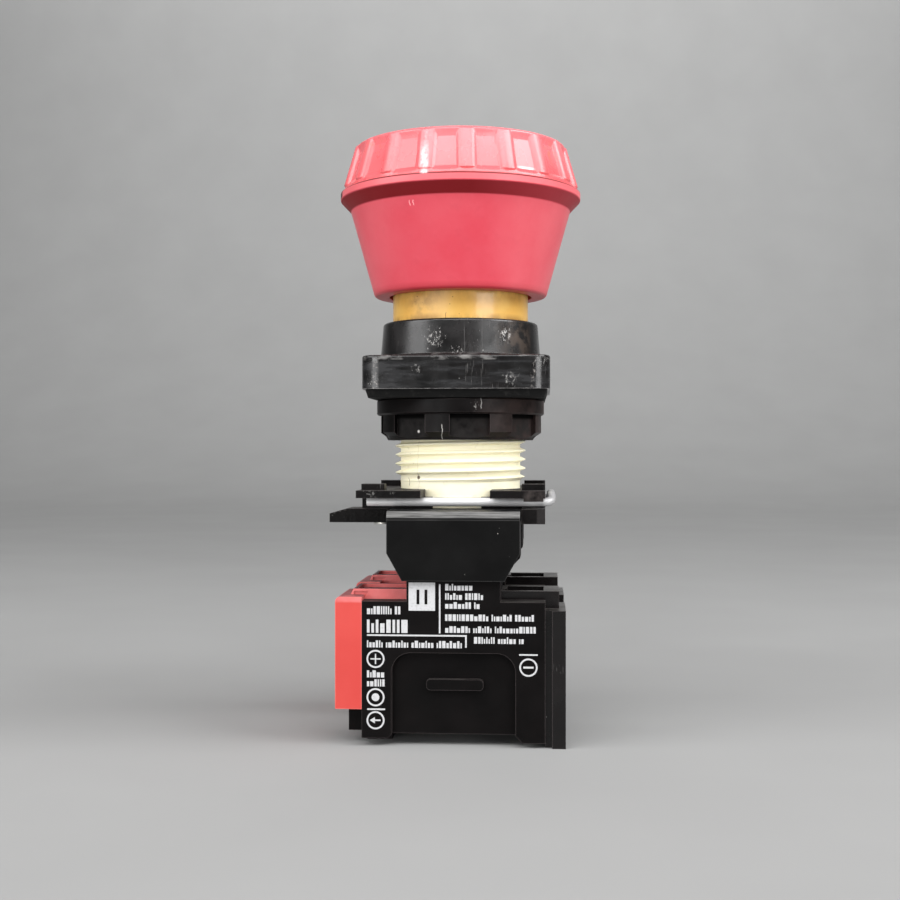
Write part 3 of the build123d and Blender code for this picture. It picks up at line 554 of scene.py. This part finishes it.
CAP_RED = cap_red()
SKIRT_RED = skirt_red()
YELLOW = sleeve_yellow()
BEZEL_BLACK = bezel_black()
NUT_BLACK = nut_black()
BLOCK_BLACK = black_plastic("block_black", 0.0022, 0.43, 0.07, scuffs=0.28, specks=0.24, dust=0.5, warm=1.15).done(0.6)
TAB_BLACK = tab_black()
ADAPTER_BLACK = adapter_black()
COVER_RED = cover_red()
CREAM = barrel_cream()
SADDLE = saddle_black()
WIRE = metal("galvanised_wire", (0.78, 0.775, 0.78), 0.36, (0.3, 4, 4), (0.50, 0.49, 0.49), 0.36, 0.25, 12.5)
ZINC = metal("zinc_plate", (0.66, 0.65, 0.60), 0.32, share=0.35)
SPRING = metal("spring_steel", (0.42, 0.42, 0.41), 0.30, share=0.45)
SILVER = metal("contact_silver", (0.80, 0.77, 0.70), 0.25, share=0.3)
BRASS = metal("brass", (0.72, 0.52, 0.22), 0.30, tarnish=(0.36, 0.24, 0.10), share=0.35)
GASKET = rubber()
NYLON = white_nylon()
INK = print_ink()

NODE_MATERIALS = {
    "mushroom_cap": CAP_RED, "mushroom_skirt": SKIRT_RED, "head_screw": ZINC, "plunger_stem": NYLON,
    "stem_circlip": SPRING, "latch_cam": NYLON, "indicator_sleeve": YELLOW, "shaft_seal": GASKET,
    "bezel": BEZEL_BLACK, "panel_gasket": GASKET, "threaded_barrel": CREAM, "latch_ring": SPRING,
    "return_spring": SPRING, "actuator_foot": NYLON, "clamp_washer": NUT_BLACK, "ring_nut": NUT_BLACK,
    "contact_bracket": SADDLE, "adapter_body": ADAPTER_BLACK, "carrier_screws": ZINC, "locking_clip": WIRE,
    "release_lever": ADAPTER_BLACK, "lever_pin": ZINC,
}
BLOCK_MATERIALS = {
    "housing": BLOCK_BLACK, "label_cover": BLOCK_BLACK, "terminal_cover": COVER_RED, "end_cover": TAB_BLACK,
    "pusher": NYLON, "contact_bridge": SILVER, "contact_spring": SPRING, "fixed_contacts": BRASS,
    "clamp_plates": ZINC, "terminal_screws": ZINC,
}
BLOCKS = ("front", "rear")
for block in BLOCKS:
    NODE_MATERIALS.update({f"{block}_{part}": look for part, look in BLOCK_MATERIALS.items()})


HARD_EDGE = 35


def set_smooth(mesh, smooth=True):
    for polygon in mesh.polygons:
        polygon.use_smooth = smooth


def soften(obj, width):
    """Rounds a CAD node's hard edges, width mm wide, with a bevel modifier."""
    bevel = obj.modifiers.new("rounded_edges", "BEVEL")
    bevel.width = width * MM
    bevel.segments = 3
    bevel.limit_method = "ANGLE"
    bevel.angle_limit = math.radians(HARD_EDGE)
    set_smooth(obj.data)


EDGE_ROUNDING = {
    "bezel": 0.20, "panel_gasket": 0.25, "clamp_washer": 0.15, "ring_nut": 0.22, "adapter_body": 0.12,
    "release_lever": 0.10, "mushroom_skirt": 0.12, "actuator_foot": 0.2, "contact_bracket": 0.08,
}
for block in BLOCKS:
    for part, width in (("housing", 0.12), ("label_cover", 0.16), ("terminal_cover", 0.22), ("end_cover", 0.16)):
        EDGE_ROUNDING[f"{block}_{part}"] = width

for node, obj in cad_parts.items():
    obj.data.materials.clear()
    obj.data.materials.append(NODE_MATERIALS[node])
    if node in EDGE_ROUNDING:
        soften(obj, EDGE_ROUNDING[node])


# ---------------------------------------------------------------- mesh helpers


def mesh_piece(name, verts, faces, look, body, smooth=True):
    """A mesh from points in millimetres that rides on a CAD body."""
    mesh = bpy.data.meshes.new(name)
    mesh.from_pydata([Vector(v) * MM for v in verts], [], faces)
    work = bmesh.new()
    work.from_mesh(mesh)
    bmesh.ops.remove_doubles(work, verts=work.verts, dist=1e-7)
    bmesh.ops.dissolve_degenerate(work, edges=work.edges, dist=1e-7)
    bmesh.ops.recalc_face_normals(work, faces=work.faces)
    work.to_mesh(mesh)
    work.free()
    mesh.materials.append(look)
    set_smooth(mesh, smooth)
    obj = bpy.data.objects.new(name, mesh)
    bpy.context.collection.objects.link(obj)
    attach(obj, body)
    return obj


def crease(obj, degrees):
    """Smooth shading that breaks at edges sharper than the angle."""
    mesh = obj.data
    work = bmesh.new()
    work.from_mesh(mesh)
    for edge in work.edges:
        if len(edge.link_faces) == 2:
            edge.smooth = edge.calc_face_angle(0) < math.radians(degrees)
    work.to_mesh(mesh)
    work.free()


def ring_faces(rows, columns, shift=None):
    """Quads between neighbouring columns of rows points, closed both ways round.

    shift maps a row of the last column to the row of the first that it meets.
    """
    faces = []
    for column in range(columns):
        after = (column + 1) % columns
        for row in range(rows):
            up = (row + 1) % rows
            low_next, up_next = row, up
            if after == 0 and shift:
                low_next, up_next = shift(row), shift(up)
            faces.append([column * rows + row, after * rows + low_next, after * rows + up_next, column * rows + up])
    return faces


def smoothstep(value, low, high):
    """0 below low, 1 above high and a smooth rise between."""
    t = min(1, max(0, (value - low) / (high - low)))
    return t * t * (3 - 2 * t)


def lerp(a, b, t):
    return a + (b - a) * t


# ---------------------------------------------------------------- ribbed cap

RIB_COUNT = 18
RIB_PITCH = 360 / RIB_COUNT
RIB_ANGLE = -83.5
RIB_HEIGHT = 0.68
RIB_FOOT = 1.70
BAND_TOP = 0.70
BAND_DEPTH = 0.32
PANEL_TOP = 7.9
SIDE_FOOT_R, SIDE_TOP_R, CROWN_R = 20.1, 18.2, 16.4
HALF_SECTOR = (0, 1.1, 2.0, 2.7, 3.3, 3.8, 4.2, 4.6, 4.95, 5.3, 6.6, 8.3)


def cap_outer(seam, rim, crown):
    """The cap's outer line over the rib tops, from the seam to the middle of the crown."""
    def cone(z):
        return lerp(SIDE_FOOT_R, SIDE_TOP_R, (z - seam) / (rim - 1.4 - seam))

    heights = (0.35, 0.6, 0.8, 0.95, 1.1, 1.25, 1.4, 1.6, 2.2, 3.5, 5.0, 6.3, 6.7, 6.95, 7.2)
    points = [(19.6, seam), (19.86, seam + 0.06), (20.04, seam + 0.2)] + [(cone(seam + h), seam + h) for h in heights]
    start, corner, over = points[-1], (17.95, rim - 0.03), (CROWN_R, rim + 0.2)
    for i in range(1, 11):
        t = i / 10
        points.append(tuple((1 - t) ** 2 * start[k] + 2 * t * (1 - t) * corner[k] + t * t * over[k] for k in (0, 1)))
    for i in range(1, 9):
        r = CROWN_R * (1 - i / 8)
        points.append((max(r, 0.001), crown - (crown - rim - 0.2) * (r / CROWN_R) ** 2))
    return points


def cap_depth(r, off, height):
    """How far the cap's side is cut back at off degrees from a rib's centre and height above the seam."""
    across = min(1, math.radians(off) * r / RIB_FOOT)
    panel = r - (r - RIB_HEIGHT - 0.09) / math.cos(math.radians(RIB_PITCH / 2 - off))
    flare = min(1, max(0, (height - 0.2) / 1.2)) * min(1, max(0, (PANEL_TOP - height) / 1.5))
    foot = BAND_TOP + 0.9 * (1 - math.sqrt(1 - across * across))
    band = BAND_DEPTH * smoothstep(height, 0.05, 0.35) * (1 - smoothstep(height, foot, foot + 0.4))
    return max(band, min(RIB_HEIGHT * 1.15 * across ** 3.2, panel * flare))


def build_cap():
    """The cap as one closed surface: eighteen ribs with flat panels between them over a plain band."""
    low, high = box_mm("mushroom_cap")
    seam, crown = low.z + 1.8, high.z
    inner = [
        (0.001, crown - 2.2), (15.4, crown - 3.1), (16.2, crown - 4.0), (16.2, low.z), (17.98, low.z), (18.02, seam)
    ]
    section = cap_outer(seam, crown - 1.0, crown) + inner
    sector = [-a for a in reversed(HALF_SECTOR[1:])] + list(HALF_SECTOR) + [RIB_PITCH / 2]
    verts = []
    for rib in range(RIB_COUNT):
        for off in sector:
            angle = math.radians(RIB_ANGLE + RIB_PITCH * rib + off)
            for r, z in section:
                on_side = seam + 0.1 < z < seam + PANEL_TOP and r > CROWN_R + 0.1
                cut = r - (cap_depth(r, abs(off), z - seam) if on_side else 0)
                verts.append((cut * math.cos(angle), cut * math.sin(angle), z))
    faces = ring_faces(len(section), RIB_COUNT * len(sector))
    cap = mesh_piece("cap_ribbed", verts, faces, CAP_RED, "head")
    crease(cap, 18)
    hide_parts("mushroom_cap")


build_cap()


# ---------------------------------------------------------------- threaded barrel

THREAD_PITCH = 1.5
THREAD_CREST = 10.98
THREAD_ROOT = 10.08
THREAD_TURNS = 8
THREAD_START_DEPTH = 18.7
BARREL_R = 10.06
KEYWAY_Y = 9.9
KEYWAY_HALF = 1.4
BARREL_COLUMNS = 160
THREAD_ROWS = ((0.0, 0), (0.20, 0), (0.44, 1), (0.56, 1), (0.80, 0))


def build_barrel():
    """The cream barrel with its right-hand thread as one helical surface."""
    low, high = box_mm("threaded_barrel")
    start = high.z - THREAD_START_DEPTH
    end = start + THREAD_TURNS * THREAD_PITCH
    groove_low, groove_high = low.z + 0.35, low.z + 1.85
    before = [
        (8.2, 1.0), (8.2, low.z + 1.5), (4.3, low.z + 1.5), (4.3, low.z), (9.9, low.z), (BARREL_R, low.z + 0.12),
        (BARREL_R, groove_low), (9.5, groove_low), (9.5, groove_high), (BARREL_R, groove_high), (BARREL_R, start - 0.4),
    ]
    after = [(THREAD_ROOT, end + 0.1), (10.88, end + 0.55), (10.88, high.z), (4.1, high.z), (4.1, 1.0)]
    per_turn = len(THREAD_ROWS)
    thread_count = (THREAD_TURNS + 1) * per_turn
    rows = len(before) + thread_count + len(after)
    verts = []
    for column in range(BARREL_COLUMNS):
        angle = TAU * column / BARREL_COLUMNS
        points = list(before)
        for k in range(thread_count):
            turn, (part, crest) = k // per_turn - 1, THREAD_ROWS[k % per_turn]
            z = start + THREAD_PITCH * (turn + part + column / BARREL_COLUMNS)
            fade = smoothstep(z, start, start + 1.1) * (1 - smoothstep(z, end - 0.5, end))
            r = THREAD_ROOT + (THREAD_CREST - THREAD_ROOT) * crest * fade
            points.append((r, min(end, max(start, z))))
        points += after
        for r, z in points:
            x, y = r * math.cos(angle), r * math.sin(angle)
            if start < z < 0 and abs(x) < KEYWAY_HALF and y > KEYWAY_Y:
                y = KEYWAY_Y
            verts.append((x, y, z))

    def shift(row):
        """The thread's rows meet the first column one turn further up."""
        first, last = len(before), len(before) + thread_count - 1
        return min(row + per_turn, last) if first <= row <= last else row

    faces = ring_faces(rows, BARREL_COLUMNS, shift)
    barrel = mesh_piece("barrel_threaded", verts, faces, CREAM, "operator")
    crease(barrel, 28)
    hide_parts("threaded_barrel")


build_barrel()


# ---------------------------------------------------------------- springs

WIRE_SIDES = 12


def build_spring(node, coil, wire, turns):
    """A round-wire spring with closed ends that rides on the operator."""
    low, high = box_mm(node)
    middle_y = (low.y + high.y) / 2
    rise, end, steps = high.z - low.z - wire, 1 / turns, int(turns * 40)
    closed = wire / rise
    verts = []
    for i in range(steps + 1):
        t = i / steps
        lift = closed + (1 - 2 * closed) * (t - end) / (1 - 2 * end)
        if t < end:
            lift = closed * t / end
        elif t > 1 - end:
            lift = 1 - closed * (1 - t) / end
        a, z = TAU * turns * t, low.z + wire / 2 + rise * lift
        for k in range(WIRE_SIDES):
            b = TAU * k / WIRE_SIDES
            r = coil + wire / 2 * math.cos(b)
            verts.append((r * math.cos(a), middle_y + r * math.sin(a), z + wire / 2 * math.sin(b)))
    faces = [list(range(WIRE_SIDES)), list(range(len(verts) - WIRE_SIDES, len(verts)))]
    for i in range(steps):
        for k in range(WIRE_SIDES):
            a, b = i * WIRE_SIDES + k, i * WIRE_SIDES + (k + 1) % WIRE_SIDES
            faces.append([a, b, b + WIRE_SIDES, a + WIRE_SIDES])
    spring = mesh_piece(f"{node}_coil", verts, faces, SPRING, "operator")
    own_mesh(spring)
    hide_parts(node)


build_spring("return_spring", 6.2, 1.0, 5.5)
for block in BLOCKS:
    build_spring(f"{block}_contact_spring", 1.9, 0.5, 5.0)


# ---------------------------------------------------------------- printed marks on the contact blocks

INK_PROUD = 0.03
INK_SUNK = 0.05
random.seed(7)


class Marks:
    """Flat printed shapes on a block's front plate, in millimetres across and up."""

    def __init__(self, face_y):
        self.y = face_y
        self.verts, self.faces = [], []

    def plate(self, outline):
        """A thin plate with the outline given as (x, z) points, anticlockwise from the front."""
        base, n = len(self.verts), len(outline)
        for y in (self.y - INK_PROUD, self.y + INK_SUNK):
            self.verts += [(x, y, z) for x, z in outline]
        self.faces.append([base + i for i in range(n)])
        self.faces.append([base + n + i for i in reversed(range(n))])
        for i in range(n):
            j = (i + 1) % n
            self.faces.append([base + i, base + n + i, base + n + j, base + j])

    def bar(self, x0, x1, z0, z1):
        self.plate([(x0, z0), (x1, z0), (x1, z1), (x0, z1)])

    def ring(self, x, z, radius, width, steps=40):
        """A ring made of steps separate quads, closed into one band."""
        base = len(self.verts)
        for i in range(steps):
            a = TAU * i / steps
            for y in (self.y - INK_PROUD, self.y + INK_SUNK):
                for r in (radius, radius - width):
                    self.verts.append((x + r * math.cos(a), y, z + r * math.sin(a)))
        for i in range(steps):
            a, b = base + 4 * i, base + 4 * ((i + 1) % steps)
            for p, q in ((0, 1), (1, 3), (3, 2), (2, 0)):
                self.faces.append([a + p, b + p, b + q, a + q])

    def print_line(self, x0, x1, low, height, width=0.6, gap=0.15):
        """A line of small plain blocks of mixed size, standing where a line of print would be."""
        x, run = x0, 0
        while x < x1 - 0.25:
            across, up = random.choice(((0.36, 1.0), (0.36, 0.72), (0.85, 0.72), (0.6, 1.0), (0.6, 0.72), (0.85, 1.0)))
            end = min(x1, x + width * across)
            self.bar(x, end, low, low + height * up)
            run += 1
            x = end + gap
            if run > 5 and random.random() < 0.3:
                x, run = x + width * 0.6, 0


# Left, right, bottom and top of each rule
RULES = (
    (-13.55, 2.1, -37.5, -37.25), (1.85, 2.1, -39.2, -37.5), (-2.25, -2.0, -37.0, -29.35),
    (-13.5, -10.7, -49.1, -48.85), (10.25, 13.15, -40.35, -40.12),
)
# Left, right, bottom and height of each line of plain blocks, then their width and gap if not the usual
PRINT_LINES = (
    (-13.55, -8.3, -34.1, 1.25), (-13.55, -7.1, -37.0, 2.05, 1.15, 0.28), (-13.55, 1.7, -39.3, 1.1),
    (-1.27, 3.1, -30.3, 1.02), (-1.27, 4.85, -31.75, 1.02), (-1.27, 4.1, -33.15, 1.02), (-1.27, 12.7, -35.05, 1.02),
    (-1.27, 13.05, -36.9, 1.02), (3.23, 11.3, -38.55, 1.02), (-13.55, -10.7, -44.0, 1.1), (-13.55, -10.7, -45.4, 1.1),
)
# Ringed signs: a plus, a dot, an arrow and a bar
SIGN_RINGS = ((-12.2, -41.1), (-12.2, -47.1), (-12.2, -50.7), (11.7, -42.2))
SIGN_BARS = (
    (-13.0, -11.4, -41.2, -41.0), (-12.3, -12.1, -41.9, -41.2), (-12.3, -12.1, -41.0, -40.3),
    (-12.3, -11.4, -50.82, -50.58), (10.9, 12.5, -42.35, -42.05),
)
ARROW_HEAD = ((-13.1, -50.7), (-12.3, -51.2), (-12.3, -50.2))


def build_marks(block):
    """Rules, blocks in place of print, ringed signs and a light square on one block's label cover."""
    name = f"{block}_marks"
    low, _ = box_mm(f"{block}_label_cover")
    marks = Marks(low.y)
    for rule in RULES:
        marks.bar(*rule)
    for line in PRINT_LINES:
        marks.print_line(*line)
    for x, z in SIGN_RINGS:
        marks.ring(x, z, 1.42, 0.26)
    for bar in SIGN_BARS:
        marks.bar(*bar)
    marks.ring(*SIGN_RINGS[1], 0.62, 0.60, 20)
    marks.plate(ARROW_HEAD)
    mesh_piece(name, marks.verts, marks.faces, INK, "operator", smooth=False)
    # Light square with two dark bars
    square = Marks(low.y)
    square.bar(-7.0, -2.85, -33.5, -29.1)
    mesh_piece(f"{name}_square", square.verts, square.faces, INK, "operator", smooth=False)
    sign = Marks(low.y - INK_PROUD)
    for x in (-5.75, -4.5):
        sign.bar(x, x + 0.45, -32.5, -30.2)
    mesh_piece(f"{name}_sign", sign.verts, sign.faces, BLOCK_BLACK, "operator", smooth=False)


for block in BLOCKS:
    build_marks(block)


# ---------------------------------------------------------------- stage, lights and camera

FLOOR_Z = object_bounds()[0][2]
SWEEP_HALF_WIDTH = 6.0
SWEEP_FRONT = -6.0
SWEEP_BEND = 0.9
SWEEP_RADIUS = 0.6
SWEEP_RISE = 2.4


def build_stage():
    """A pale seamless sweep: flat floor in front and a curved rise far behind."""
    section = [(SWEEP_FRONT, FLOOR_Z), (SWEEP_BEND, FLOOR_Z)]
    for i in range(1, 13):
        a = math.pi / 2 * i / 12
        section.append((SWEEP_BEND + SWEEP_RADIUS * math.sin(a), FLOOR_Z + SWEEP_RADIUS * (1 - math.cos(a))))
    section.append((SWEEP_BEND + SWEEP_RADIUS, FLOOR_Z + SWEEP_RISE))
    verts, faces = [], []
    for y, z in section:
        verts += [(-SWEEP_HALF_WIDTH, y, z), (SWEEP_HALF_WIDTH, y, z)]
    for i in range(len(section) - 1):
        faces.append([2 * i, 2 * i + 1, 2 * i + 3, 2 * i + 2])
    mesh = bpy.data.meshes.new("sweep")
    mesh.from_pydata(verts, [], faces)
    set_smooth(mesh)
    s = Shader("pale_floor", (0.30, 0.30, 0.298), 0.85)
    s.paint(s.span(s.noise(60.0, 3.0), 0.3, 0.8), (0.32, 0.32, 0.318))
    mesh.materials.append(s.done())
    obj = bpy.data.objects.new("sweep", mesh)
    bpy.context.collection.objects.link(obj)


def area_light(name, place, target, size, power):
    """A rectangular light, size metres across and power watts, aimed at a target."""
    data = bpy.data.lights.new(name, "AREA")
    data.shape = "RECTANGLE"
    data.size, data.size_y = size
    data.energy = power
    obj = bpy.data.objects.new(name, data)
    obj.location = place
    obj.rotation_euler = (Vector(target) - Vector(place)).to_track_quat("-Z", "Y").to_euler()
    bpy.context.collection.objects.link(obj)


LIGHTS = {
    "front": ((0.06, -0.70, 0.74), (0, 0, 0.01), (1.0, 0.6), 9),
    "right": ((0.80, -0.22, 0.64), (0, 0, 0.01), (0.7, 0.7), 11),
    "left": ((-0.82, -0.42, 0.45), (0, 0, 0.01), (0.6, 0.6), 6),
    "spark": ((-0.45, -0.53, 0.72), (0, 0, 0.03), (0.10, 0.10), 0.9),
    "low_right": ((0.66, -0.66, 0.06), (0, 0, 0), (0.5, 0.3), 3.2),
    "backdrop": ((0, 1.0, 1.1), (0, 2.4, 0.3), (1.4, 0.3), 12),
    "low_left": ((-0.50, -0.80, 0.0), (0, 0, 0), (0.5, 0.2), 3.0),
}

build_stage()
for name, (place, target, size, power) in LIGHTS.items():
    area_light(name, place, target, size, power)

world = bpy.data.worlds.new("soft_room")
world.use_nodes = True
background = world.node_tree.nodes["Background"]
background.inputs["Color"].default_value = (0.9, 0.92, 0.95, 1)
background.inputs["Strength"].default_value = 0.10
bpy.context.scene.world = world
bpy.context.scene.view_settings.view_transform = "Standard"
bpy.context.scene.view_settings.look = "None"

EYE = Vector((0.0142, -0.2286, -0.0084))
YAW = math.radians(4.0)
lens = bpy.data.cameras.new("camera")
lens.lens = 54.1
lens.sensor_width = 36
lens.clip_start = 0.01
camera = bpy.data.objects.new("camera", lens)
camera.location = EYE
camera.rotation_euler = (math.pi / 2, 0, YAW)
bpy.context.collection.objects.link(camera)
bpy.context.scene.camera = camera
